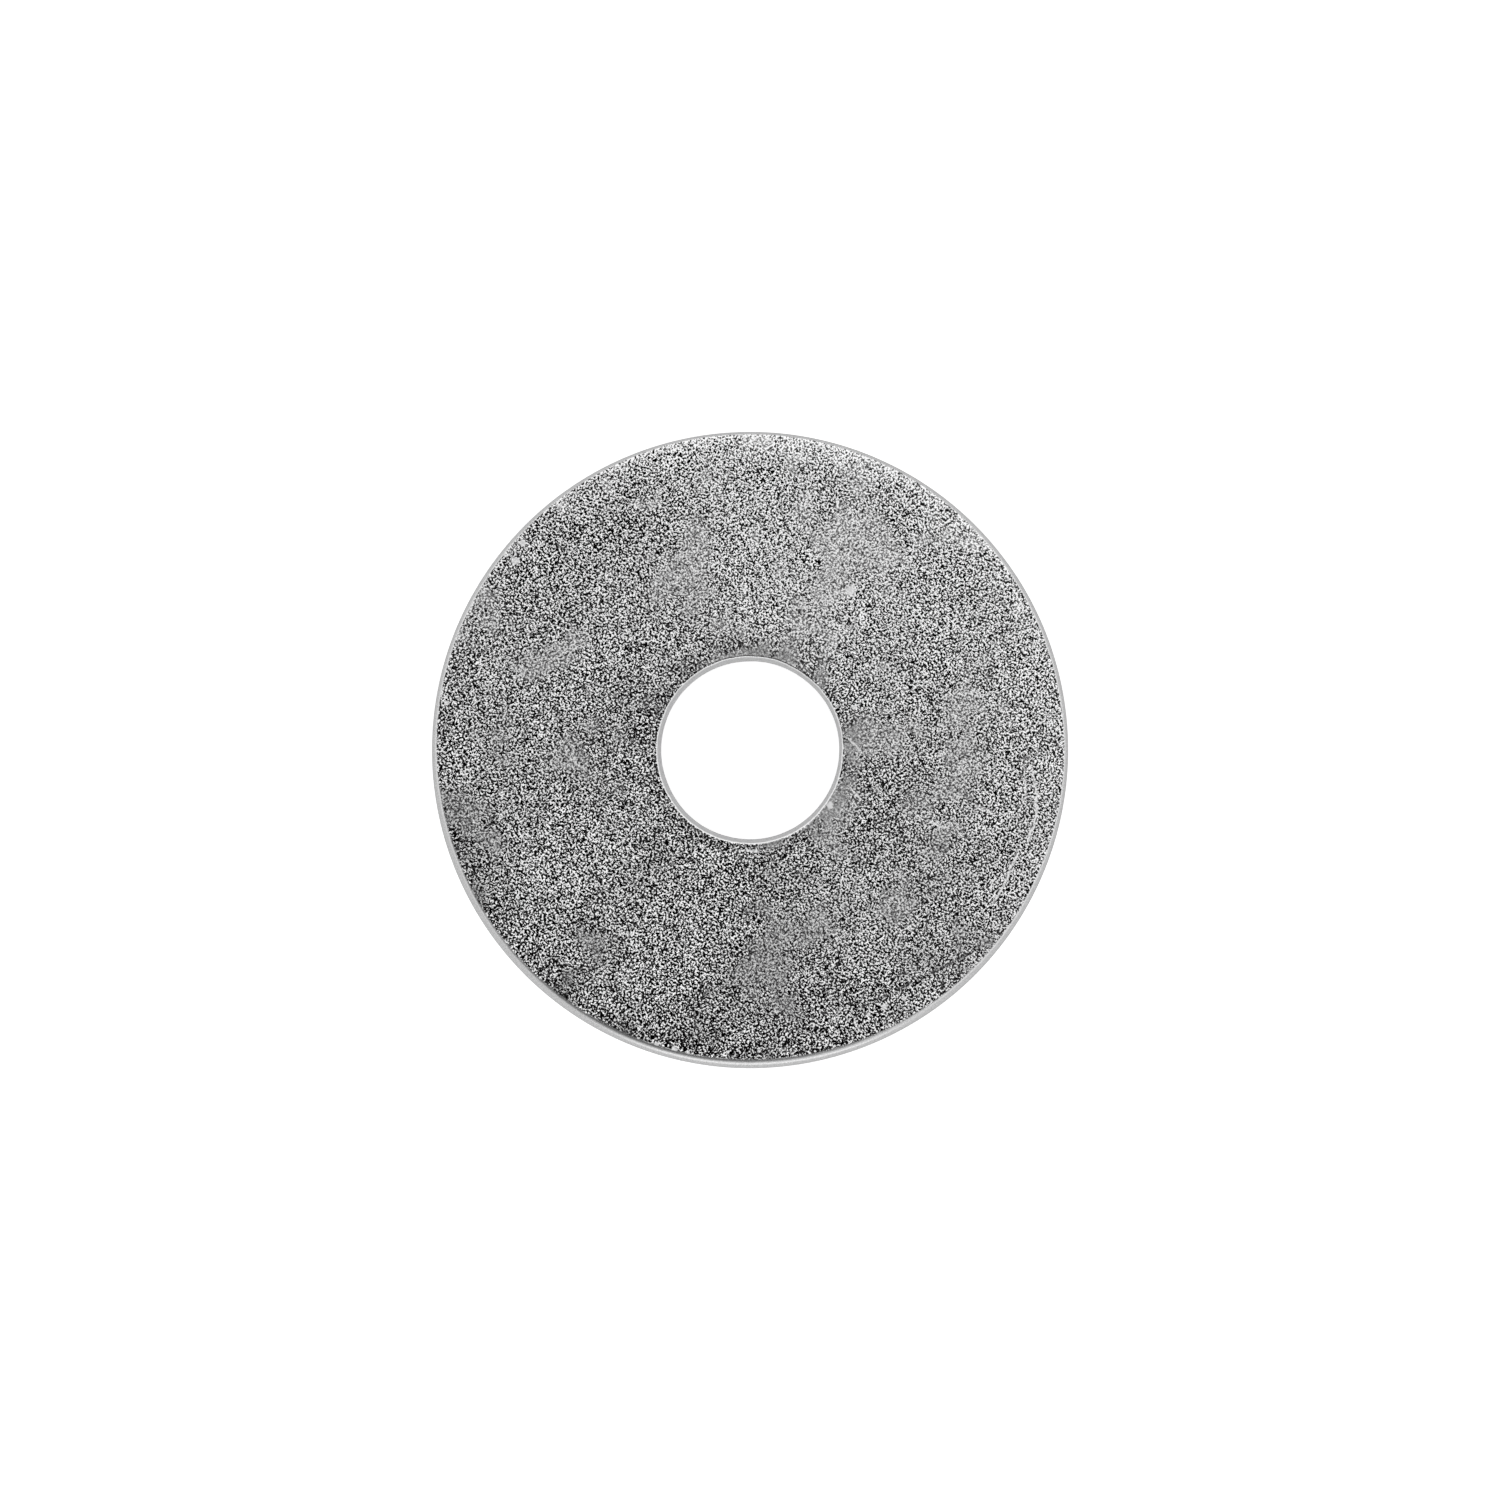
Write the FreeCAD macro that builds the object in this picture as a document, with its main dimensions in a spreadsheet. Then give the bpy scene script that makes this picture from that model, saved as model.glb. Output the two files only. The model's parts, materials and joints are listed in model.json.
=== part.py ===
import FreeCAD, Part
import os
import Sketcher

# Flat washer of the large-diameter (penny) pattern for an 8 mm bolt: 8.4 x 30 x 1.5 mm.
#
# It is one stamped ring of zinc-plated steel strip. The hole is pierced and the ring is then
# blanked out of the strip in the same direction, which gives each cut wall three zones: a
# rounded rollover where the tool went in, a smooth straight land, and a sloping fracture.
# On the ring the two cuts face opposite ways. The upper face carries the rollover of the rim
# and the fracture of the bore; the lower face carries the rollover of the bore and the
# fracture of the rim.
#
# Frame: millimetres, +Z up along the bore's axis, origin on that axis in the lower face.

DIMENSIONS = {
    "outer_diameter": 30.0,
    "bore_diameter": 8.4,
    "thickness": 1.5,
    "rim_rollover": 0.2,      # radius where the rim's wall meets the upper face
    "bore_rollover": 0.15,    # radius where the bore's wall meets the lower face
    "fracture_height": 0.6,   # height of the fractured zone of each cut wall
    "bore_flare": 0.22,       # how far the fracture widens the bore at the upper face
    "rim_taper": 0.06,        # how far the fracture draws the rim in at the lower face
    "deburred_edge": 0.06,    # radius that tumbling leaves on the two fractured edges
}

NODE = "washer"
TOLERANCE = 1e-4


def make_sheet(doc):
    """Put the driving dimensions in a spreadsheet, one named cell each."""
    sheet = doc.addObject("Spreadsheet::Sheet", "Dimensions")
    for row, (name, value) in enumerate(DIMENSIONS.items(), start=1):
        sheet.set(f"A{row}", name)
        sheet.set(f"B{row}", str(value))
        sheet.setAlias(f"B{row}", name)
    doc.recompute()
    return sheet


def origin_plane(body, role):
    """Return the body's own origin plane that has this role."""
    return next(feature for feature in body.Origin.OriginFeatures if feature.Role == role)


def bind(sketch, kind, first, second, name, expression):
    """Add a named distance between two (geometry, point) places and bind it to the sheet."""
    index = sketch.addConstraint(Sketcher.Constraint(kind, *first, *second, 0.1))
    sketch.renameConstraint(index, name)
    sketch.setExpression(f"Constraints.{name}", expression)


def draw_section(body, sheet):
    """Draw the ring's cross-section, right of the bore's axis, before its corners are rounded.

    The corners run anticlockwise from the bore's lower one: bore_low, rim_low, rim_land,
    rim_top, bore_top, bore_land.
    """
    bore = sheet.bore_diameter / 2
    rim = sheet.outer_diameter / 2
    top = sheet.thickness
    fracture = sheet.fracture_height
    corners = [
        FreeCAD.Vector(bore, 0, 0),
        FreeCAD.Vector(rim - sheet.rim_taper, 0, 0),
        FreeCAD.Vector(rim, fracture, 0),
        FreeCAD.Vector(rim, top, 0),
        FreeCAD.Vector(bore + sheet.bore_flare, top, 0),
        FreeCAD.Vector(bore, top - fracture, 0),
    ]
    underside, rim_fracture, rim_land, top_face, bore_fracture, bore_land = range(len(corners))
    start, end = 1, 2
    root = (-1, 1)
    horizontal_axis = -1

    section = body.newObject("Sketcher::SketchObject", "RingSection")
    section.AttachmentSupport = [(origin_plane(body, "XZ_Plane"), "")]
    section.MapMode = "FlatFace"
    for here, following in zip(corners, corners[1:] + corners[:1]):
        section.addGeometry(Part.LineSegment(here, following), False)
    for line in range(len(corners)):
        following = (line + 1) % len(corners)
        section.addConstraint(Sketcher.Constraint("Coincident", line, end, following, start))

    section.addConstraint(Sketcher.Constraint("PointOnObject", underside, start, horizontal_axis))
    section.addConstraint(Sketcher.Constraint("Horizontal", underside))
    section.addConstraint(Sketcher.Constraint("Horizontal", top_face))
    section.addConstraint(Sketcher.Constraint("Vertical", rim_land))
    section.addConstraint(Sketcher.Constraint("Vertical", bore_land))

    bind(section, "DistanceX", root, (bore_land, end), "bore_radius",
         "Dimensions.bore_diameter / 2")
    bind(section, "DistanceX", root, (rim_land, start), "rim_radius",
         "Dimensions.outer_diameter / 2")
    bind(section, "DistanceY", root, (rim_land, end), "top_height",
         "Dimensions.thickness")
    bind(section, "DistanceY", root, (rim_land, start), "rim_fracture_top",
         "Dimensions.fracture_height")
    bind(section, "DistanceY", root, (bore_land, start), "bore_fracture_foot",
         "Dimensions.thickness - Dimensions.fracture_height")
    bind(section, "DistanceX", (rim_fracture, start), (rim_fracture, end), "rim_taper",
         "Dimensions.rim_taper")
    bind(section, "DistanceX", (bore_fracture, end), (bore_fracture, start), "bore_flare",
         "Dimensions.bore_flare")
    return section


def circular_edge(shape, radius, height):
    """Name the circular edge of this radius that lies at this height on the axis."""
    for number, edge in enumerate(shape.Edges, start=1):
        if not isinstance(edge.Curve, Part.Circle):
            continue
        same_radius = abs(edge.Curve.Radius - radius) < TOLERANCE
        if same_radius and abs(edge.Curve.Center.z - height) < TOLERANCE:
            return f"Edge{number}"
    raise RuntimeError(f"no circular edge of radius {radius} at height {height}")


def round_edges(body, name, base, circles, radius_cell):
    """Round the given (radius, height) edges of base by the radius in the named cell."""
    fillet = body.newObject("PartDesign::Fillet", name)
    fillet.Base = (base, [circular_edge(base.Shape, *circle) for circle in circles])
    fillet.setExpression("Radius", f"Dimensions.{radius_cell}")
    body.Document.recompute()
    return fillet


def make_washer(doc, sheet):
    """Revolve the section, then round the rollovers and the two fractured edges."""
    body = doc.addObject("PartDesign::Body", NODE)
    body.Label = NODE
    section = draw_section(body, sheet)

    ring = body.newObject("PartDesign::Revolution", "StampedRing")
    ring.Profile = section
    ring.ReferenceAxis = (section, ["V_Axis"])
    ring.Angle = 360
    section.Visibility = False
    doc.recompute()
    if not section.FullyConstrained:
        raise RuntimeError("the ring's section is not fully constrained")

    bore = sheet.bore_diameter / 2
    rim = sheet.outer_diameter / 2
    top = sheet.thickness
    rim_round = round_edges(body, "RimRollover", ring, [(rim, top)], "rim_rollover")
    bore_round = round_edges(body, "BoreRollover", rim_round, [(bore, 0)], "bore_rollover")
    fractured_edges = [(bore + sheet.bore_flare, top), (rim - sheet.rim_taper, 0)]
    deburred = round_edges(body, "DeburredEdges", bore_round, fractured_edges, "deburred_edge")
    body.Tip = deburred
    body.Placement = FreeCAD.Placement()
    return body


def check(doc, body, sheet):
    """Stop if an object failed, or if the ring isn't one valid solid of the stated size."""
    failed = [item.Name for item in doc.Objects if {"Invalid", "Error"} & set(item.State)]
    if failed:
        raise RuntimeError(f"these objects failed: {failed}")
    shape = body.Shape
    if shape.isNull() or not shape.isValid() or len(shape.Solids) != 1:
        raise RuntimeError("the washer is not one valid solid")

    box = shape.optimalBoundingBox(False, False)
    if abs(box.XLength - sheet.outer_diameter) > TOLERANCE or abs(box.ZMin) > TOLERANCE:
        raise RuntimeError("the washer is not the stated size, or not on its lower face")
    disc = Part.makeCylinder(sheet.outer_diameter / 2, sheet.thickness)
    hole = Part.makeCylinder(sheet.bore_diameter / 2, sheet.thickness)
    square_cut_volume = disc.Volume - hole.Volume
    if not 0.97 * square_cut_volume < shape.Volume < square_cut_volume:
        raise RuntimeError("the rounded and fractured edges took off too much or too little")


def main():
    doc = FreeCAD.newDocument("flat_washer")
    sheet = make_sheet(doc)
    body = make_washer(doc, sheet)
    doc.recompute()
    check(doc, body, sheet)
    os.makedirs("parts", exist_ok=True)
    body.Shape.exportStep(os.path.join("parts", f"{body.Label}.step"))


main()
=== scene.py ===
import json
import math

import bpy
from mathutils import Matrix, Vector, noise


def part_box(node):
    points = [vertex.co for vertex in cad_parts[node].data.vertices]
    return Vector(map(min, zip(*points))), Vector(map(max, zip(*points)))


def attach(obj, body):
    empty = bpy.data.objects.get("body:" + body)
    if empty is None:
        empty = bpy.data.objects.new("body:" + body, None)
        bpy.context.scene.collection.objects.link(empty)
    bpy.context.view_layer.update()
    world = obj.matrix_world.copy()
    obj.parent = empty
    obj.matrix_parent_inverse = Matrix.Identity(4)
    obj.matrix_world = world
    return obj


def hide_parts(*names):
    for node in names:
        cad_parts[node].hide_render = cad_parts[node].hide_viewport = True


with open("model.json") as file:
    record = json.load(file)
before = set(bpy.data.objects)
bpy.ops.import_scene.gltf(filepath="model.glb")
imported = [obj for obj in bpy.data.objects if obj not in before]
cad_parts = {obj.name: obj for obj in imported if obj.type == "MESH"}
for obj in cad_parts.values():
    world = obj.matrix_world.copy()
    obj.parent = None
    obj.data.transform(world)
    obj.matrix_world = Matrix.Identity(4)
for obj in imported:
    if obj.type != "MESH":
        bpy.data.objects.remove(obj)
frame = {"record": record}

# A flat washer of zinc-plated steel, lying on a pale floor with its rounded rim upwards.
# Lengths are metres, except in the parts headed mm and in the shader.
# Headings run anticlockwise from +X, seen from above. "Front" is -Y and "back" is +Y.

MM = 0.001
TURN = 2 * math.pi
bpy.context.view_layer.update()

# ---------------------------------------------------------------- sizes from the frame
LOW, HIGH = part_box("washer")
MOUNTS = {mount["name"]: mount for mount in frame["record"]["mounts"]}
BORE_MOUNT = MOUNTS["bolt_hole"]
BORE_LAND_LENGTH = BORE_MOUNT["dims"]["length_mm"] * MM

RIM_RADIUS = (HIGH.x - LOW.x) / 2
BORE_RADIUS = BORE_MOUNT["dims"]["r_mm"] * MM
THICKNESS = HIGH.z - LOW.z
BORE_LAND_LOW = BORE_MOUNT["pos_m"][2] - BORE_LAND_LENGTH / 2
BORE_LAND_HIGH = BORE_MOUNT["pos_m"][2] + BORE_LAND_LENGTH / 2

# ---------------------------------------------------------------- the sheared edges
RIM_ROLLOVER = 0.152 * THICKNESS     # least width of the rim's rounding on the upper face
RIM_WIDENING = 1.05                  # and how much wider it is where the punch ran closest
WIDE_SIDE = math.radians(-103)       # the heading of that place
WIDE_FALL = 1.2                      # the larger, the sooner it narrows away from that side
RIM_ROLLOVER_DEPTH = 0.16 * THICKNESS
RIM_SAG_WIDTH = 1.3 * THICKNESS      # the upper face droops this far in from the rim
RIM_SAG = 0.027 * THICKNESS
RIM_FRACTURE_TOP = 0.40 * THICKNESS
RIM_TAPER = 0.04 * THICKNESS
EDGE_ROUND = 0.04 * THICKNESS

BORE_ROLLOVER = BORE_LAND_LOW
BORE_FLARE = 0.094 * THICKNESS       # least width of the torn cone at the upper face
BORE_WIDENING = 0.28                 # and how much wider it is at the front
LIP_ROUND = 0.05 * THICKNESS
LIP_WIDTH = 0.10 * THICKNESS         # a low burr stands round the bore's upper edge
LIP_HEIGHT = 0.003 * THICKNESS
LIP_CUT = 0.34                       # the lip is a narrow edge, so it never looks fully cut
LIP_CUT_FALL = 0.06

RIM_INSET = 0.0004                   # share of the radius that keeps the uneven rim within the CAD's
TEAR_DEPTH = 0.004 * MM              # roughness of the torn walls
TEAR_CELLS = 4                       # its cells down the wall
RIM_TEAR_GRAIN = (90, 7.5)           # its cells a radian, and seed
BORE_TEAR_GRAIN = (40, 8.5)
RIM_TEAR_SPAN = (0.15, 0.90)         # shares of the torn wall where its first and last ring lie
BORE_TEAR_SPAN = (0.15, 1.00)
CORNER_SHARE = 0.3                   # how far into the rim's lower corner one more ring lies,
CORNER_CUT = 0.7                     # and how cut and how torn it looks
CORNER_FRACTURE = 0.5

# Each drift is a set of layers: share, waves round the ring, and seed.
RIM_DRIFT = ((0.0004, 5, 1.5),)      # of the rim's and the bore's radius
BORE_DRIFT = ((0.004, 6, 2.5),)
ROLLOVER_DRIFT = ((0.10, 9, 9.5), (0.09, 70, 11.5))    # of the widths above
FLARE_DRIFT = ((0.16, 7, 3.5), (0.13, 60, 4.5))
LIP_DRIFT = ((0.5, 80, 10.5),)
RIM_TEAR_DRIFT = ((0.08, 14, 6.5),)  # of the height where the torn walls begin
BORE_TEAR_DRIFT = ((-0.10, 12, 5.5),)

RELIEF_DEPTH = 0.003 * MM            # mean depth of the faces' waviness
BROAD_RELIEF = 0.0025 * MM           # and its two layers: how deep each is, and its waves a mm
BROAD_WAVES = 0.9
FINE_RELIEF = 0.0015 * MM
FINE_WAVES = 2.6
FINE_OFFSET = Vector((9, 4, 0))      # keeps the two layers apart

SEGMENTS = 600                       # around the washer
TOP_RINGS = 86                       # across each part of the section
ROUNDING_RINGS = 8
LAND_RINGS = 4
TEAR_RINGS = 5
UNDERSIDE_RINGS = 38
BORE_ROUNDING_RINGS = 5
LIP_RINGS = 2
TOP_SEED = 0.0
UNDERSIDE_SEED = 30.0

# ---------------------------------------------------------------- marks on the upper face, mm
KNOCKS = (                           # x, y, radius and depth; a nodule has a depth below 0
    (4.74, 7.50, 0.36, 0.012),
    (-10.68, 9.76, 0.24, -0.006),
    (-11.06, 8.92, 0.28, -0.006),
    (3.78, -2.62, 0.24, -0.004),
    (4.95, 2.00, 0.15, -0.005),
    (6.35, -12.05, 0.22, -0.006),
    (7.25, -11.70, 0.16, -0.006),
    (5.60, -12.45, 0.18, -0.006),
    (-4.40, -13.85, 0.18, -0.004),
    (-3.55, -14.10, 0.20, -0.004),
    (-2.90, -14.25, 0.16, -0.004),
    (-14.30, 2.20, 0.15, -0.004),
)
CREASE_START = Vector((11.20, -9.10))    # a shallow step, nearly straight, that faces the rim
CREASE_END = Vector((4.60, -12.40))
CREASE_BOW = 0.06
CREASE_WIDTH = 0.30
CREASE_DROP = 0.008
CREASE_SHADE_WIDTH = 0.12                 # of the dark line of painted shade along it
CREASE_OVERRUN = 1.2                     # the step ends at this share of the line's half length
MARK_FADE = 0.7                          # and every mark starts to fade at this share of its own

SCRATCHES = (                        # start, end, bow, width and strength
    ((13.10, -0.50), (12.95, -4.60), 0.42, 0.100, 1.0),
    ((12.75, -0.60), (12.85, -2.60), 0.20, 0.080, 0.7),
    ((12.70, -4.50), (11.30, -7.40), 0.14, 0.095, 0.9),
    ((8.33, -3.35), (9.36, -3.73), 0.04, 0.075, 1.0),
    ((-0.68, -4.80), (0.50, -4.80), 0.06, 0.070, 0.9),
    ((4.55, 0.60), (5.20, -0.25), 0.06, 0.065, 1.0),
    ((4.60, -1.60), (5.20, -2.45), 0.02, 0.065, 1.0),
    ((10.60, -2.60), (11.60, -3.00), 0.00, 0.160, 0.6),
    ((-8.63, -0.38), (-7.59, -1.07), 0.03, 0.050, 0.6),
    ((-12.95, 1.00), (-12.35, -0.20), -0.10, 0.065, 0.8),
)
CLOUDS = (                           # x, y, radius, and how much smoother the grain is there
    (-5.8, 1.6, 3.4, -0.042),
    (6.2, -2.4, 2.6, -0.040),
    (-3.6, -4.6, 3.0, -0.030),
    (0.8, -5.4, 2.4, -0.030),
    (1.8, 7.4, 3.6, 0.030),
    (5.5, 6.5, 3.6, 0.020),
    (0.0, 12.2, 3.4, 0.020),
    (-5.6, 10.4, 2.4, -0.035),
    (-10.6, 8.6, 2.8, -0.045),
    (5.6, -7.6, 2.6, 0.040),
    (-2.5, -12.4, 3.0, -0.030),
    (5.0, -12.2, 2.4, -0.030),
)

# ---------------------------------------------------------------- the zinc finish, mm
RIM = RIM_RADIUS / MM
BORE = BORE_RADIUS / MM
MIDDLE = (0.4 * THICKNESS / MM, 0.6 * THICKNESS / MM)    # the marks end between these heights
ZINC_TINT = (0.995, 0.995, 1.0)

PLAIN = (0.0, 0.5)                   # octaves and roughness of a noise, from smooth to rough
SOFT = (1.0, 0.5)
FIRM = (1.0, 0.6)
CRISP = (1.0, 0.7)
ROUGH = (2.0, 0.6)
PATCHY = (3.0, 0.65)
MOST_NOISE = (0.3, 0.7)              # nearly all of a noise lies in this range

# A grain is cells a mm and one of the textures above. A waver has its reach as well.
FINE_GRAIN = (10.6, CRISP)           # the two layers of pits,
COARSE_GRAIN = (9.0, CRISP)
FINE_TURN = math.radians(23)         # which are turned so that no grid shows
COARSE_TURN = math.radians(58)
MOTTLE_GRAIN = (2.4, SOFT)
MOTTLE = 0.12                        # share of the mottling beside the pits
GRAIN_MIDDLE = 0.505                 # of the pits and curls, which is taken off
BRIGHT_CURLS = 3.0                   # seeds
DARK_CURLS = 7.0
CURL_GRAIN = (4.5, FIRM)             # the noise whose contour the curls follow
CURL_WIDTH = 0.05                    # half the contour's width, in noise
CURL_BREAK_GRAIN = (3.45, PLAIN)     # the noise that breaks the curls up,
CURL_BREAKS = (0.48, 0.58)           # and its values where they end and where they are whole
CURL = 0.11                          # strength of the bright curls
CURL_DARK = 1.5                      # and how much stronger the dark ones are

PATCH_GRAIN = (0.32, PATCHY)         # the smoother and rougher patches
PATCH_SPAN = (0.40, 0.60)            # from the roughest patches to the smoothest, in noise,
PATCH_STRENGTH = (2.20, 0.21)        # in the strength of the pits
PATCH_LEVEL = (0.12, 0.67)           # and in the tone under them
CLOUD_EDGE = (0.2, 1.3)              # a cloud fades out between these shares of its radius,
CLOUD_WAVER = (0.8, ROUGH, 1.2)      # give or take this
ROUGH_AND_SHADED_WAY = Vector((-0.35, -0.94, 0))
ROUGH_AND_SHADED_LEAN = 0.038                   # how much rougher and darker the face grows from its middle that way; the darkening is painted shade
RIM_SHADE_WAY = Vector((-0.62, -0.78, 0))
RIM_SHADE_LEAN = 0.045                    # how much painted shade darkens its border that way,
RIM_SHADE_BORDER = (1.6, 0.5)             # where the border sets in and is full, in from the rim
BACK_PAINTED_LIGHT = 0.10                    # how much painted light brightens it at the very back,
BACK_BORDER = (0.75, 0.30)           # again in from the rim,
BACK_FALL = 4.0                      # and how fast that fades to the sides
TONE_SHIFT = 0.35                    # share of the clouds and of the painted shade and light that is added to the grain

CALM_REACH = (0.3, 1.2)              # the pits are weaker near the bore, fading out between these
BORE_CALM = 0.65                     # distances from it, by this share,
SHADE_REACH = (0.4, 1.9)             # and the ground is darker,
BORE_SHADE = (0.00, 0.13)            # least at the front and most at the back;
BORE_WAVER = (0.35, ROUGH, -1.2)     # both end unevenly
FACE_GAIN = 18.0                     # contrast of the pits
FACE_POWER = 1.8                     # from tone to reflectance
FACE_ROUGHNESS = 0.17
PIT_HEIGHT = 0.018

BURNISH_START = (0.09, 0.26)         # share of an edge's rounding where the rubbed part begins
BURNISH_GRAIN = (6.0, FIRM)          # it begins unevenly, by this noise and share,
BURNISH_WAVER = 0.16
BACK_DELAY = -0.35                   # and later towards the back of the rim,
BACK_DELAY_FROM = 0.55               # from this share of the way
LINE_HIGHLIGHT_VALUE = 0.68                    # reflectance of the bright line where an edge begins, rubbed metal with a painted highlight,
FRONT_LINE_HIGHLIGHT_VALUE = 0.55              # of that line at the very front,
FRONT_LINE_REACH = 0.8               # as opposed to this share of the way,
BAND_VALUE = 0.51                    # and of the rounding beyond the line
BAND_START = (0.28, 0.45)            # share of the rounding where the line gives way to the band,
WALL_START = (0.90, 0.99)            # and the band to the wall
EDGE_SPECKLE = (0.85, 1.15)          # the line and the band are speckled between these gains
LIP_HIGHLIGHT_GAIN = (1.45, 1.10)              # the bore's lip is brighter, most at the front, as a painted highlight,
LIP_REACH = (1.0, 2.0)               # which ends between these distances from the bore
LAND_VALUE = (0.52, 0.72)            # reflectance of the walls' land and tear, darkest and lightest
TEAR_VALUE = (0.49, 0.72)
STREAK_GRAIN = (14.0, ROUGH)         # the streaks down the walls' land
STREAK_SQUEEZE = (1, 1, 0.05)
TEAR_GRAIN = (16.0, ROUGH)
LAND_ROUGHNESS = 0.20
TEAR_ROUGHNESS = 0.45
WALL_RELIEF = 0.3                    # height of the walls' streaks, beside that of the pits

# The crease's dark line is painted shade along its step.
CREASE_SHADE_VALUE = 0.05
CREASE_GRAIN = (3.0, ROUGH)
CREASE_DASHES = (0.42, 0.58, 0.10, 0.80)    # from and to which noise, and how dark at each
SCRATCH_VALUE = 0.85                 # of scratches and knocks
SCRATCH_ROUGHNESS = 0.55
SCRATCH_WAVER = (1.6, ROUGH, 0.25)   # how far the scratches wander
SCRATCH_WAY = (1, 0.4, 0)            # and which way
SCRATCH_GRAIN = (9.0, FIRM)
SCRATCH_DASHES = (0.35, 0.55, 0.30, 1.00)   # like the crease's, but how bright
KNOCK_EDGE = (0.45, 0.85)            # a knock fades out between these shares of its radius,
KNOCK_WAVER = (7.0, SOFT, 0.12)      # give or take this
KNOCK_BRIGHTNESS = 0.8
LINE_CORE = 0.3                      # share of a line's width where it is full

# ---------------------------------------------------------------- the stage, metres
GROUND = 0.0
FLOOR_HALF = 60 * RIM_RADIUS
FLOOR_VALUE = 0.9
FLOOR_GLOW = 0.5                     # what the camera sees of the floor beyond its own light

SHADE_LEAN = math.radians(13)        # of the dark patch overhead
SHADE_HEADING = math.radians(242)
SHADE_CORE = math.radians(5)         # from its middle out to where it starts to lighten,
SHADE_EDGE = math.radians(19)        # and to where it ends
SHADE_LIGHT = 0.06
TENT_LIGHT = 1.0
TENT_FALL = 0.02                     # the tent is dimmer at the back
FRONT_BOX_LEAN = math.radians(40)
FRONT_BOX_DISTANCE = 0.47
FRONT_BOX_WIDTH = 0.30
FRONT_BOX_DEPTH = 0.12
FRONT_BOX_RADIANCE = 0.75

PICTURE_WIDTH = 4.717 * RIM_RADIUS   # across the picture, at the washer's height
CAMERA_DISTANCE = 0.35
CAMERA_TILT = math.radians(1.5)
CAMERA_HEADING = math.radians(-35)
SENSOR_WIDTH = 36                    # mm
NEAREST = 0.01
FARTHEST = 10


# ---------------------------------------------------------------- small sums
def smoothstep(low, high, value):
    """0 at low, 1 at high, and a smooth change between, whichever of the two is larger."""
    share = min(max((value - low) / (high - low), 0), 1)
    return share * share * (3 - 2 * share)


def spaced(start, end, count):
    """count values from start to end, both included."""
    return [start + (end - start) * step / (count - 1) for step in range(count)]


def crowded(start, end, count):
    """Like spaced, but twice as close at the ends."""
    shares = spaced(0, 1, count)
    return [start + (end - start) * (share - math.sin(TURN * share) / (2 * TURN)) for share in shares]


def quarter(count):
    """Angles that split a quarter turn evenly, without its two ends."""
    return [TURN / 4 * step / (count + 1) for step in range(1, count + 1)]


def around(angle, radius):
    """x and y of the place at this angle and radius."""
    return radius * math.cos(angle), radius * math.sin(angle)


def uneven(angle, layers):
    """Smooth noise round the circle, about 0, in layers of (share, waves, seed)."""
    total = 0
    for share, waves, seed in layers:
        x, y = around(angle, waves / 3)      # round this circle lie about two cells a wave
        total += share * noise.noise(Vector((x, y, seed)))
    return total


def torn_out(angle, share, cells, seed):
    """How far a torn wall stands out at this angle and share of its height."""
    return TEAR_DEPTH * noise.noise(Vector((angle * cells, share * TEAR_CELLS, seed)))


# ---------------------------------------------------------------- relief of the faces
def relief(x, y, seed):
    """How far the tumbled face lies below its plane at x, y."""
    place = Vector((x / MM, y / MM, seed))
    broad = noise.noise(place * BROAD_WAVES)
    fine = noise.noise(place * FINE_WAVES + FINE_OFFSET)
    return RELIEF_DEPTH + BROAD_RELIEF * broad + FINE_RELIEF * fine


def knocked(x, y):
    """Depth of the larger dents at x, y, less the height of the nodules."""
    depth = 0
    for knock_x, knock_y, radius, deepest in KNOCKS:
        away = math.hypot(x / MM - knock_x, y / MM - knock_y)
        if away < radius:
            depth += deepest * MM * smoothstep(radius, 0, away)
    return depth


def crease_fall(x, y):
    """How far the face steps down outside the crease."""
    run = (CREASE_END - CREASE_START) / 2
    from_middle = Vector((x / MM, y / MM)) - (CREASE_START + CREASE_END) / 2
    along = from_middle.dot(run) / run.length_squared
    beyond = from_middle.dot(run.orthogonal()) / run.length - CREASE_BOW * (1 - along ** 2)
    step = smoothstep(-CREASE_WIDTH / 2, CREASE_WIDTH / 2, beyond)
    return CREASE_DROP * MM * step * smoothstep(CREASE_OVERRUN, MARK_FADE, abs(along))


def rim_sag(radius):
    """How far the upper face droops at this radius."""
    share = max(radius - (RIM_RADIUS - RIM_SAG_WIDTH), 0) / RIM_SAG_WIDTH
    return RIM_SAG * share ** 3


# ---------------------------------------------------------------- the ring
# Each place of the section is (radius, height, cut, fracture). cut is 0 on the faces, rises
# across the rounded edges, and is 1 on the sheared walls; fracture is 1 on their torn parts.
def upper_face(angle, start, end, lip_depth):
    """The upper face from the bore's lip out to the rim's rounding."""
    places = []
    for radius in crowded(start, end, TOP_RINGS):
        x, y = around(angle, radius)
        before_rim = smoothstep(end, end - RIM_ROLLOVER, radius)
        past_lip = smoothstep(start, start + LIP_WIDTH, radius)
        depth = lip_depth + (LIP_HEIGHT - lip_depth) * past_lip
        depth += relief(x, y, TOP_SEED) * before_rim * past_lip
        depth += crease_fall(x, y) * before_rim
        depth += knocked(x, y) + rim_sag(radius)
        places.append((radius, THICKNESS - depth, 0.0, 0.0))
    return places


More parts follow.
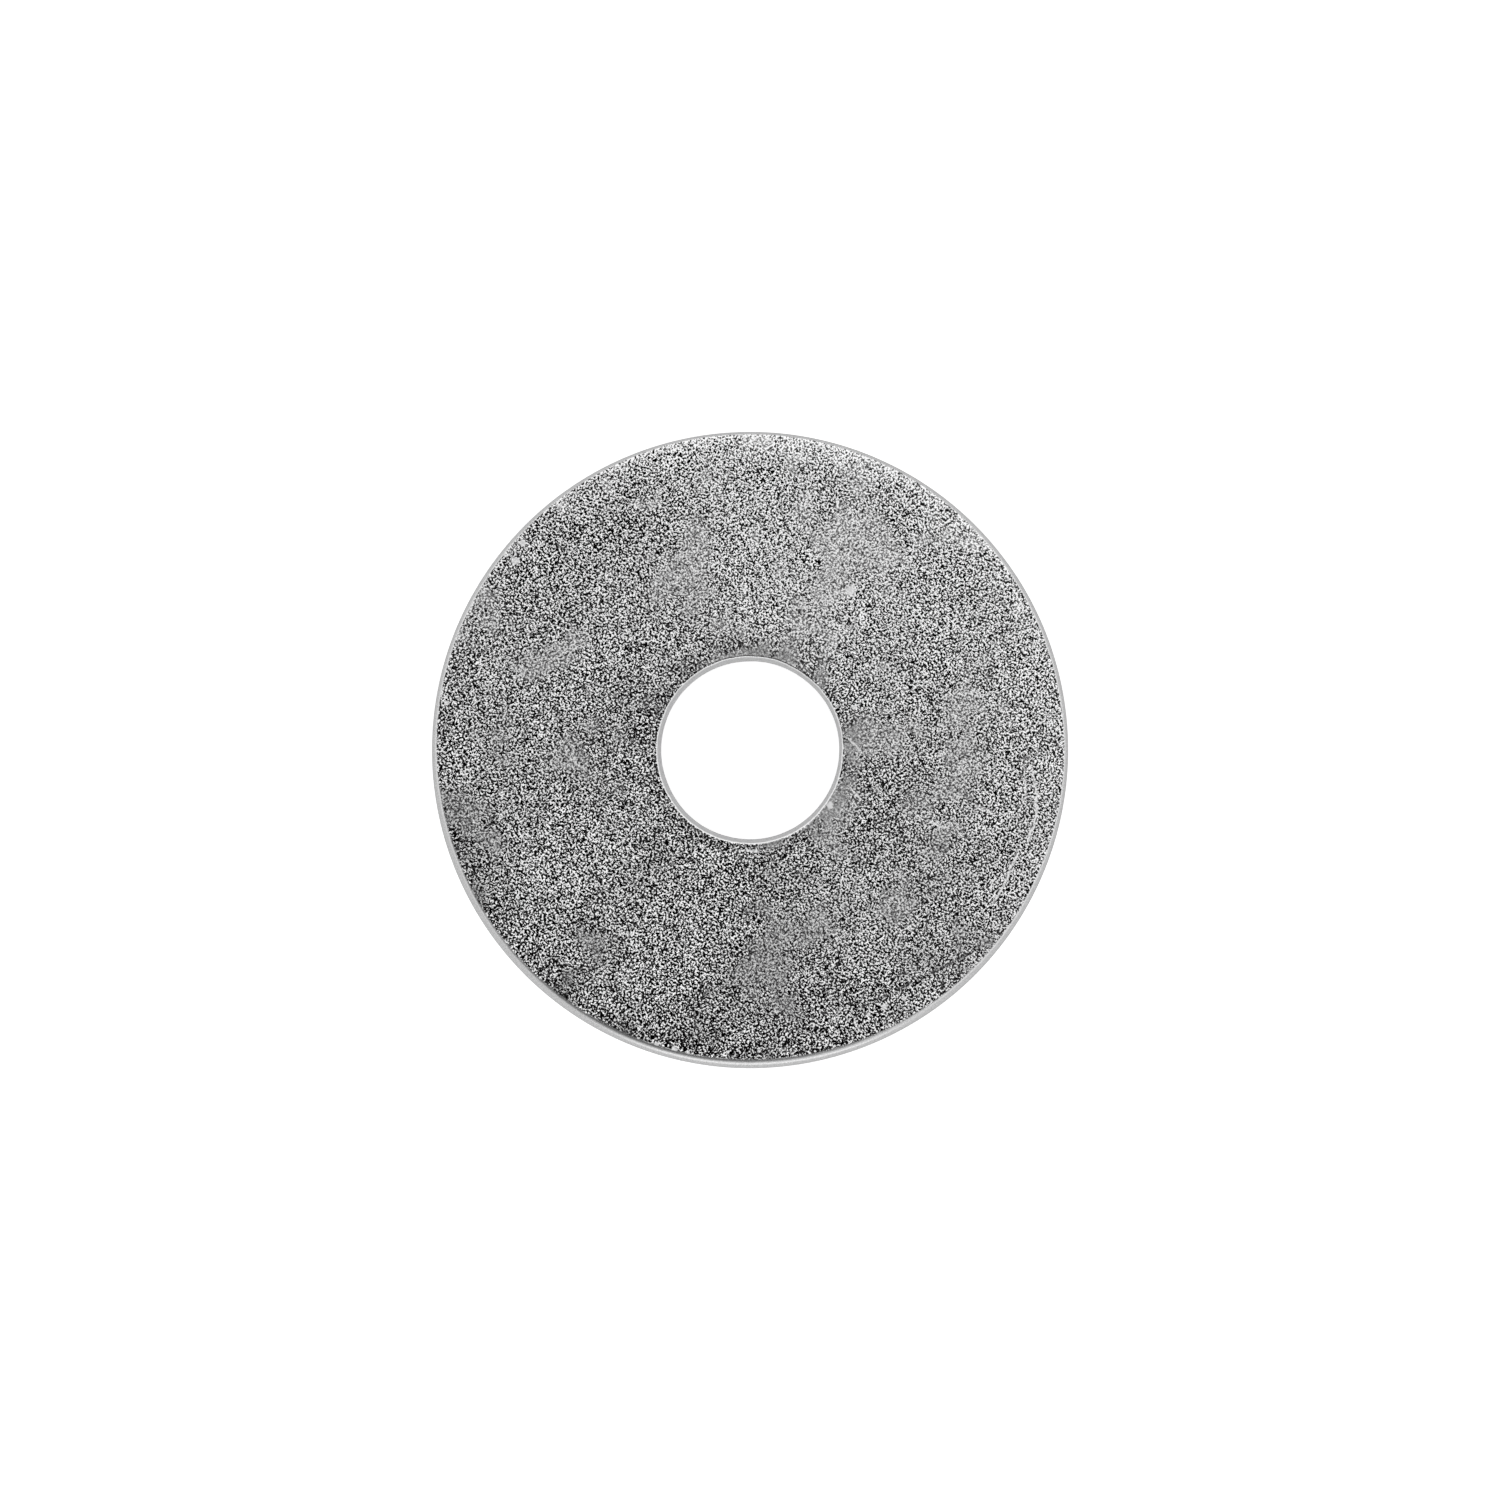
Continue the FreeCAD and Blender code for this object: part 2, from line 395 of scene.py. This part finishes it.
def rim_wall(angle, rim, face_end, tear_height):
    """The rim's rounding, its sheared land and its torn, tapering lower part."""
    top = THICKNESS - rim_sag(face_end) - LIP_HEIGHT
    places = []
    for turn in quarter(ROUNDING_RINGS):
        radius = face_end + (rim - face_end) * math.sin(turn)
        places.append((radius, top - RIM_ROLLOVER_DEPTH * (1 - math.cos(turn)), math.sin(turn), 0.0))
    for height in spaced(top - RIM_ROLLOVER_DEPTH, tear_height, LAND_RINGS):
        places.append((rim, height, 1.0, 0.0))
    for share in spaced(*RIM_TEAR_SPAN, TEAR_RINGS):
        radius = rim - RIM_TAPER * share + torn_out(angle, share, *RIM_TEAR_GRAIN)
        places.append((radius, tear_height * (1 - share), 1.0, 1.0))
    corner = CORNER_SHARE * EDGE_ROUND
    places.append((rim - RIM_TAPER - corner, corner, CORNER_CUT, CORNER_FRACTURE))
    return places


def under_face(angle, start, end):
    """The lower face from the rim in to the bore's rounding."""
    places = []
    for radius in spaced(start, end, UNDERSIDE_RINGS):
        x, y = around(angle, radius)
        places.append((radius, relief(x, y, UNDERSIDE_SEED), 0.0, 0.0))
    return places


def bore_wall(angle, bore, flare, tear_height, lip_depth):
    """The bore's lower rounding, its land, the torn cone above it and the lip."""
    places = []
    for turn in quarter(BORE_ROUNDING_RINGS):
        radius = bore + BORE_ROLLOVER * (1 - math.sin(turn))
        places.append((radius, BORE_ROLLOVER * (1 - math.cos(turn)), math.sin(turn), 0.0))
    for height in spaced(BORE_LAND_LOW, tear_height, LAND_RINGS):
        places.append((bore, height, 1.0, 0.0))
    rise = THICKNESS - LIP_ROUND - tear_height
    for share in spaced(*BORE_TEAR_SPAN, TEAR_RINGS):
        radius = bore + flare * share + torn_out(angle, share, *BORE_TEAR_GRAIN)
        places.append((radius, tear_height + rise * share, 1.0, 1.0))
    for turn in quarter(LIP_RINGS):
        radius = bore + flare + LIP_ROUND * (1 - math.cos(turn))
        height = THICKNESS - lip_depth - LIP_ROUND * (1 - math.sin(turn))
        places.append((radius, height, LIP_CUT - LIP_CUT_FALL * math.sin(turn), 0.0))
    return places


def section(angle):
    """The ring's outline at this angle, once round: top, rim, underside and bore."""
    rim = RIM_RADIUS * (1 - RIM_INSET + uneven(angle, RIM_DRIFT))
    closeness = max(math.cos(angle - WIDE_SIDE), 0) ** WIDE_FALL
    face_end = rim - RIM_ROLLOVER * (1 + RIM_WIDENING * closeness + uneven(angle, ROLLOVER_DRIFT))
    rim_tear = RIM_FRACTURE_TOP + THICKNESS * uneven(angle, RIM_TEAR_DRIFT)

    bore = BORE_RADIUS * (1 + uneven(angle, BORE_DRIFT))
    frontness = max(-math.sin(angle), 0) ** 2
    flare = BORE_FLARE * (1 + BORE_WIDENING * frontness + uneven(angle, FLARE_DRIFT))
    bore_tear = BORE_LAND_HIGH + THICKNESS * uneven(angle, BORE_TEAR_DRIFT)
    lip_depth = LIP_HEIGHT * (0.5 + uneven(angle, LIP_DRIFT))

    return (
        upper_face(angle, bore + flare + LIP_ROUND, face_end, lip_depth)
        + rim_wall(angle, rim, face_end, rim_tear)
        + under_face(angle, rim - RIM_TAPER - EDGE_ROUND, bore + BORE_ROLLOVER)
        + bore_wall(angle, bore, flare, bore_tear, lip_depth)
    )


def make_ring():
    """Sweep the section round the axis into one closed mesh."""
    angles = [TURN * step / SEGMENTS for step in range(SEGMENTS)]
    rows = [section(angle) for angle in angles]
    count = len(rows[0])
    vertices, cut, fracture = [], [], []
    for angle, row in zip(angles, rows):
        for radius, height, cut_share, fracture_share in row:
            vertices.append((*around(angle, radius), height))
            cut.append(cut_share)
            fracture.append(fracture_share)
    faces = []
    for step in range(SEGMENTS):
        here, beyond = step * count, (step + 1) % SEGMENTS * count
        for place in range(count):
            following = (place + 1) % count
            faces.append((here + place, here + following, beyond + following, beyond + place))
    mesh = bpy.data.meshes.new("washer_plated")
    mesh.from_pydata(vertices, [], faces)
    for name, values in (("cut", cut), ("fracture", fracture)):
        mesh.attributes.new(name, "FLOAT", "POINT").data.foreach_set("value", values)
    mesh.polygons.foreach_set("use_smooth", [True] * len(faces))
    mesh.validate()
    mesh.update()
    washer = bpy.data.objects.new("washer_plated", mesh)
    bpy.context.scene.collection.objects.link(washer)
    return washer


# ---------------------------------------------------------------- shader helpers
class Graph:
    """Short calls for the nodes of one material or world."""

    def __init__(self, tree):
        self.tree = tree
        tree.nodes.clear()

    def feed(self, place, value):
        """Link or set one input."""
        if isinstance(value, bpy.types.NodeSocket):
            self.tree.links.new(value, place)
        elif value is not None:
            place.default_value = value

    def node(self, kind, *values, **settings):
        """Make a node, give its inputs in order (None leaves one alone), return its outputs."""
        made = self.tree.nodes.new(kind)
        for name, value in settings.items():
            setattr(made, name, value)
        for place, value in zip(made.inputs, values):
            self.feed(place, value)
        return made.outputs

    def named(self, kind, values, **settings):
        """Like node, with the inputs given by name."""
        made = self.tree.nodes.new(kind)
        for name, value in settings.items():
            setattr(made, name, value)
        for name, value in values.items():
            self.feed(made.inputs[name], value)
        return made.outputs

    def math(self, operation, *values, clamp=False):
        """One sum of numbers."""
        return self.node("ShaderNodeMath", *values, operation=operation, use_clamp=clamp)[0]

    def vector(self, operation, *values):
        """One sum of vectors: its vector output, then its number."""
        return self.node("ShaderNodeVectorMath", *values, operation=operation)

    def scaled(self, value, low, high, to_low=0.0, to_high=1.0):
        """Map low..high to to_low..to_high, clamped."""
        return self.node("ShaderNodeMapRange", value, low, high, to_low, to_high, clamp=True)[0]

    def mix(self, share, low, high):
        """low where share is 0, high where it is 1."""
        return self.node("ShaderNodeMix", share, None, low, high, data_type="FLOAT")[0]

    def times(self, vector, factor):
        """The vector with its length multiplied."""
        return self.vector("SCALE", vector, None, None, factor)[0]

    def flattened(self, vector):
        """The vector without its height."""
        return self.vector("MULTIPLY", vector, (1, 1, 0))[0]

    def turned(self, vector, angle, centre=(0, 0, 0)):
        """The vector turned about a vertical line through centre."""
        return self.node("ShaderNodeVectorRotate", vector, centre, None, angle, rotation_type="Z_AXIS")[0]

    def noise(self, vector, scale, texture, flat=False):
        """Noise of about 0 to 1 with this many cells a unit. Flat noise has fewer broad blotches."""
        octaves, roughness = texture
        values = {"Vector": vector, "Scale": scale, "Detail": octaves, "Roughness": roughness}
        dimensions = "2D" if flat else "3D"
        return self.named("ShaderNodeTexNoise", values, noise_dimensions=dimensions)["Fac"]

    def waver(self, vector, scale, texture, reach):
        """Noise of about -reach to reach."""
        return self.math("MULTIPLY_ADD", self.noise(vector, scale, texture), 2 * reach, -reach)

    def spot(self, place, centre, waver, inner, outer, height=1.0):
        """height within the inner radius of a spot, and 0 beyond the outer; both radii waver."""
        away = self.vector("DISTANCE", self.flattened(place), (*centre, 0))[1]
        return self.scaled(self.math("ADD", away, waver), inner, outer, height, 0.0)

    def line(self, place, start, end, bow, width):
        """1 on a thin bowed line from start to end, and 0 off it."""
        start, end = Vector((*start, 0)), Vector((*end, 0))
        middle = (start + end) / 2
        heading = math.atan2(end.y - start.y, end.x - start.x)
        level = self.vector("SUBTRACT", self.turned(place, -heading, middle), middle)[0]
        along, across, _ = self.node("ShaderNodeSeparateXYZ", level)
        share = self.math("DIVIDE", along, (end - start).length / 2)
        bend = self.math("MULTIPLY_ADD", self.math("MULTIPLY", share, share), bow, across)
        away = self.math("ABSOLUTE", self.math("SUBTRACT", bend, bow))
        on_line = self.scaled(away, LINE_CORE * width, width, 1.0, 0.0)
        fade = self.scaled(self.math("ABSOLUTE", share), MARK_FADE, 1.0, 1.0, 0.0)
        return self.math("MULTIPLY", on_line, fade)


class Whereabouts:
    """Where a point of the surface lies, in mm, and how it was cut, as sockets."""

    def __init__(self, graph):
        self.place = graph.times(graph.node("ShaderNodeTexCoord")[3], 1 / MM)
        self.radius = graph.vector("LENGTH", graph.flattened(self.place))[1]
        self.back, height = graph.node("ShaderNodeSeparateXYZ", self.place)[1:]
        self.on_top = graph.scaled(height, *MIDDLE)
        self.cut = graph.node("ShaderNodeAttribute", attribute_name="cut")[2]
        self.fracture = graph.node("ShaderNodeAttribute", attribute_name="fracture")[2]


# ---------------------------------------------------------------- the tumbled faces
def curls(graph, place, seed):
    """Short thin curling strokes: 1 on them and 0 between."""
    aside = graph.vector("ADD", place, (seed, seed, seed))[0]
    ground = graph.noise(aside, *CURL_GRAIN, flat=True)
    from_contour = graph.math("ABSOLUTE", graph.math("SUBTRACT", ground, 0.5))
    thin = graph.scaled(from_contour, 0.0, CURL_WIDTH, 1.0, 0.0)
    broken = graph.scaled(graph.noise(aside, *CURL_BREAK_GRAIN, flat=True), *CURL_BREAKS)
    return graph.math("MULTIPLY", thin, broken)


def face_grain(graph, place):
    """Pitted grain about 0: two crisp layers, some mottling, and bright and dark curls."""
    fine = graph.noise(graph.turned(place, FINE_TURN), *FINE_GRAIN, flat=True)
    coarse = graph.noise(graph.turned(place, COARSE_TURN), *COARSE_GRAIN, flat=True)
    mottle = graph.noise(place, *MOTTLE_GRAIN)
    grain = graph.math("MULTIPLY_ADD", mottle, MOTTLE, graph.mix(0.5, fine, coarse))
    bright = curls(graph, place, BRIGHT_CURLS)
    dark = curls(graph, place, DARK_CURLS)
    strokes = graph.math("MULTIPLY_ADD", dark, -CURL_DARK, bright)
    grain = graph.math("MULTIPLY_ADD", strokes, CURL, grain)
    return graph.math("SUBTRACT", grain, GRAIN_MIDDLE + MOTTLE / 2)


def clouds(graph, place):
    """The broad smoother and rougher areas of the finish, about 0."""
    waver = graph.waver(place, *CLOUD_WAVER)
    total = 0.0
    for x, y, radius, smoother in CLOUDS:
        inner, outer = (share * radius for share in CLOUD_EDGE)
        total = graph.math("ADD", graph.spot(place, (x, y), waver, inner, outer, smoother), total)
    return total


def rim_painted_light_and_shade(graph, where, waver):
    """How much lighter the face is painted near the rim: painted shade on the front left, painted light
    at the back.
    """
    wavering_radius = graph.math("MULTIPLY_ADD", waver, 0.5, where.radius)
    border = graph.scaled(wavering_radius, *(RIM - depth for depth in RIM_SHADE_BORDER))
    # painted shade on the border's front left side
    shaded_side = graph.vector("DOT_PRODUCT", where.place, (RIM_SHADE_WAY / RIM)[:])[1]
    tone = graph.math("MULTIPLY", graph.math("MULTIPLY", shaded_side, border), -RIM_SHADE_LEAN)
    # painted light on the border's back
    backness = graph.math("MAXIMUM", graph.math("DIVIDE", where.back, RIM), 0.0)
    backness = graph.math("POWER", backness, BACK_FALL)
    at_rim = graph.scaled(where.radius, *(RIM - depth for depth in BACK_BORDER))
    return graph.math("MULTIPLY_ADD", graph.math("MULTIPLY", backness, at_rim), BACK_PAINTED_LIGHT, tone)


def crease_painted_shade(graph, where):
    """How dark the crease's broken line of painted shade is, 0 to 1."""
    line = graph.line(where.place, CREASE_START, CREASE_END, CREASE_BOW, CREASE_SHADE_WIDTH)
    dashes = graph.scaled(graph.noise(where.place, *CREASE_GRAIN), *CREASE_DASHES)
    return graph.math("MULTIPLY", graph.math("MULTIPLY", line, dashes), where.on_top)


def tumbled_face(graph, where):
    """The faces' pits, and their value. The pits are nearly rubbed out in some patches."""
    waver = graph.waver(where.place, *BORE_WAVER)
    from_bore = graph.math("SUBTRACT", graph.math("ADD", where.radius, waver), BORE)
    # painted shade: the face grows rougher and darker towards the front
    rough_and_shaded_side = graph.vector("DOT_PRODUCT", where.place, (ROUGH_AND_SHADED_WAY / RIM)[:])[1]
    smoother = graph.math("MULTIPLY_ADD", rough_and_shaded_side, -ROUGH_AND_SHADED_LEAN, clouds(graph, where.place))
    patch = graph.math("ADD", graph.noise(where.place, *PATCH_GRAIN), smoother)

    calm = graph.scaled(from_bore, *CALM_REACH, BORE_CALM, 0.0)
    strength = graph.math("MULTIPLY", graph.scaled(patch, *PATCH_SPAN, *PATCH_STRENGTH),
                          graph.math("SUBTRACT", 1.0, calm))
    shift = graph.math("ADD", smoother, rim_painted_light_and_shade(graph, where, waver))
    grain = graph.math("MULTIPLY_ADD", shift, TONE_SHIFT, face_grain(graph, where.place))
    pits = graph.math("MULTIPLY", grain, strength)

    near_bore = graph.scaled(from_bore, *SHADE_REACH, 1.0, 0.0)
    shade = graph.math("MULTIPLY", near_bore, graph.scaled(where.back, -BORE, BORE, *BORE_SHADE))
    level = graph.math("SUBTRACT", graph.scaled(patch, *PATCH_SPAN, *PATCH_LEVEL), shade)
    tone = graph.math("MULTIPLY_ADD", pits, FACE_GAIN, level, clamp=True)
    value = graph.math("POWER", tone, FACE_POWER)
    # the crease's dark line is painted shade
    return pits, graph.mix(crease_painted_shade(graph, where), value, CREASE_SHADE_VALUE)


# ---------------------------------------------------------------- marks and edges
def scratches(graph, place):
    """How far the surface is scratched bright, 0 to 1."""
    drift = graph.waver(place, *SCRATCH_WAVER)
    wandering = graph.vector("ADD", place, graph.times(SCRATCH_WAY, drift))[0]
    total = 0.0
    for start, end, bow, width, strength in SCRATCHES:
        mark = graph.line(wandering, start, end, bow, width)
        total = graph.math("MULTIPLY_ADD", mark, strength, total)
    breaks = graph.scaled(graph.noise(place, *SCRATCH_GRAIN), *SCRATCH_DASHES)
    return graph.math("MULTIPLY", total, breaks, clamp=True)


def knocks(graph, place):
    """How bright the larger dents and nodules are, 0 to 1."""
    waver = graph.waver(place, *KNOCK_WAVER)
    total = 0.0
    for x, y, radius, _ in KNOCKS:
        inner, outer = (share * radius for share in KNOCK_EDGE)
        total = graph.math("ADD", graph.spot(place, (x, y), waver, inner, outer), total)
    return graph.math("MULTIPLY", total, KNOCK_BRIGHTNESS, clamp=True)


def burnished(graph, where):
    """0 on the grained faces, and 1 from where an edge's rounding is rubbed smooth."""
    wobble = graph.noise(where.place, *BURNISH_GRAIN)
    delay = graph.scaled(where.back, BACK_DELAY_FROM * RIM, RIM, 0.0, BACK_DELAY)
    along_edge = graph.math("ADD", graph.math("MULTIPLY_ADD", wobble, BURNISH_WAVER, where.cut), delay)
    return graph.scaled(along_edge, *BURNISH_START)


def edge_value(graph, where, streaks, torn):
    """Value of the edges: a bright line carrying a painted highlight, the rounded band, then the wall's
    land and tear.
    """
    land = graph.scaled(streaks, *MOST_NOISE, *LAND_VALUE)
    tear = graph.scaled(torn, *MOST_NOISE, *TEAR_VALUE)
    wall = graph.mix(where.fracture, land, tear)
    # painted highlight along the bright line, dimmer at the very front
    line = graph.scaled(where.back, -RIM, -FRONT_LINE_REACH * RIM, FRONT_LINE_HIGHLIGHT_VALUE, LINE_HIGHLIGHT_VALUE)
    rounding = graph.mix(graph.scaled(where.cut, *BAND_START), line, BAND_VALUE)
    rounding = graph.math("MULTIPLY", rounding, graph.scaled(torn, *MOST_NOISE, *EDGE_SPECKLE))
    # painted highlight on the bore's lip, brightest at the front
    past_lip = graph.scaled(where.radius, *(BORE + reach for reach in LIP_REACH))
    lip_highlight_gain = graph.mix(past_lip, graph.scaled(where.back, -BORE, BORE, *LIP_HIGHLIGHT_GAIN), 1.0)
    rounding = graph.math("MULTIPLY", rounding, lip_highlight_gain)
    return graph.mix(graph.scaled(where.cut, *WALL_START), rounding, wall)


def zinc_material():
    """Bright zinc over tumbled steel: a fine pitted grain on the faces, smoother cut walls."""
    material = bpy.data.materials.new("zinc_plated_steel")
    material.use_nodes = True
    graph = Graph(material.node_tree)
    where = Whereabouts(graph)
    edge = burnished(graph, where)
    squeezed = graph.vector("MULTIPLY", where.place, STREAK_SQUEEZE)[0]
    streaks = graph.noise(squeezed, *STREAK_GRAIN)
    torn = graph.noise(where.place, *TEAR_GRAIN)
    marks = graph.math("MAXIMUM", scratches(graph, where.place), knocks(graph, where.place))
    marks = graph.math("MULTIPLY", marks, where.on_top)

    pits, face_value = tumbled_face(graph, where)
    face_value = graph.mix(marks, face_value, SCRATCH_VALUE)
    value = graph.mix(edge, face_value, edge_value(graph, where, streaks, torn))
    face_roughness = graph.mix(marks, FACE_ROUGHNESS, SCRATCH_ROUGHNESS)
    wall_roughness = graph.mix(where.fracture, LAND_ROUGHNESS, TEAR_ROUGHNESS)
    wall_height = graph.math("MULTIPLY", graph.mix(where.fracture, streaks, torn),
                             graph.math("MULTIPLY", where.cut, WALL_RELIEF))
    height = graph.mix(edge, pits, wall_height)
    bump = graph.named("ShaderNodeBump", {"Strength": 1.0, "Distance": PIT_HEIGHT * MM, "Height": height})
    shader = graph.named("ShaderNodeBsdfPrincipled", {
        "Base Color": graph.times(ZINC_TINT, value),
        "Metallic": 1.0,
        "Roughness": graph.mix(edge, face_roughness, wall_roughness),
        "Normal": bump[0],
    })
    graph.node("ShaderNodeOutputMaterial", shader[0])
    return material


# ---------------------------------------------------------------- stage, light and camera
def floor_material():
    """Matt white. The camera sees it a little brighter than the washer's walls reflect it."""
    material = bpy.data.materials.new("pale_floor")
    material.use_nodes = True
    graph = Graph(material.node_tree)
    paper = graph.node("ShaderNodeBsdfDiffuse", (FLOOR_VALUE, FLOOR_VALUE, FLOOR_VALUE, 1))[0]
    glow = graph.node("ShaderNodeEmission", (1, 1, 1, 1), FLOOR_GLOW)[0]
    lifted = graph.node("ShaderNodeAddShader", paper, glow)[0]
    seen_by_camera = graph.node("ShaderNodeLightPath")[0]
    surface = graph.node("ShaderNodeMixShader", seen_by_camera, paper, lifted)[0]
    graph.node("ShaderNodeOutputMaterial", surface)
    return material


def make_floor():
    """One wide sheet under the washer."""
    mesh = bpy.data.meshes.new("floor")
    corners = [(-1, -1), (1, -1), (1, 1), (-1, 1)]
    vertices = [(x * FLOOR_HALF, y * FLOOR_HALF, GROUND) for x, y in corners]
    mesh.from_pydata(vertices, [], [(0, 1, 2, 3)])
    mesh.materials.append(floor_material())
    floor = bpy.data.objects.new("floor", mesh)
    bpy.context.scene.collection.objects.link(floor)


def aim(place, target, up):
    """World matrix of something at place whose -Z points at target and whose Y leans to up."""
    forward = (target - place).normalized()
    upward = (up - forward * up.dot(forward)).normalized()
    across = forward.cross(upward)
    rotation = Matrix((across, upward, -forward)).transposed()
    return Matrix.Translation(place) @ rotation.to_4x4()


def leaning(lean, heading):
    """The direction this far from straight up, towards this heading."""
    return Vector((*around(heading, math.sin(lean)), math.cos(lean)))


def light_tent():
    """A white tent with a dark patch overhead, where the camera and its operator stand."""
    world = bpy.data.worlds.new("studio")
    bpy.context.scene.world = world
    world.use_nodes = True
    graph = Graph(world.node_tree)
    direction = graph.node("ShaderNodeTexCoord")[0]
    shade = leaning(SHADE_LEAN, SHADE_HEADING)
    angle = graph.math("ARCCOSINE", graph.vector("DOT_PRODUCT", direction, shade[:])[1])
    light = graph.node("ShaderNodeMapRange", angle, SHADE_CORE, SHADE_EDGE, SHADE_LIGHT, TENT_LIGHT,
                       interpolation_type="SMOOTHSTEP")[0]
    back = graph.node("ShaderNodeSeparateXYZ", direction)[1]
    light = graph.math("MULTIPLY", light, graph.math("MULTIPLY_ADD", back, -TENT_FALL, 1.0))
    background = graph.node("ShaderNodeBackground", light, 1.0)[0]
    graph.node("ShaderNodeOutputWorld", background)


def light_front():
    """A soft box above and in front of the washer."""
    light = bpy.data.lights.new("softbox_front", "AREA")
    light.shape = "RECTANGLE"
    light.size = FRONT_BOX_WIDTH
    light.size_y = FRONT_BOX_DEPTH
    light.energy = FRONT_BOX_RADIANCE * math.pi * FRONT_BOX_WIDTH * FRONT_BOX_DEPTH
    lamp = bpy.data.objects.new("softbox_front", light)
    bpy.context.scene.collection.objects.link(lamp)
    middle = Vector((0, 0, THICKNESS))
    place = middle + leaning(FRONT_BOX_LEAN, -TURN / 4) * FRONT_BOX_DISTANCE
    lamp.matrix_world = aim(place, middle, Vector((0, 1, 0)))


def make_camera():
    """Almost straight down, a little from the front and the right."""
    data = bpy.data.cameras.new("camera")
    camera = bpy.data.objects.new("camera", data)
    bpy.context.scene.collection.objects.link(camera)
    target = Vector((0, 0, THICKNESS / 2))
    place = target + leaning(CAMERA_TILT, CAMERA_HEADING) * CAMERA_DISTANCE
    camera.matrix_world = aim(place, target, Vector((0, 1, 0)))
    data.sensor_width = SENSOR_WIDTH
    data.lens = SENSOR_WIDTH * CAMERA_DISTANCE / PICTURE_WIDTH
    data.clip_start = NEAREST
    data.clip_end = FARTHEST
    bpy.context.scene.camera = camera


def main():
    """Build the washer and its studio."""
    washer = make_ring()
    washer.data.materials.append(zinc_material())
    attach(washer, "root")
    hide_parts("washer")
    make_floor()
    light_tent()
    light_front()
    make_camera()
    bpy.context.scene.view_settings.view_transform = "Standard"


main()
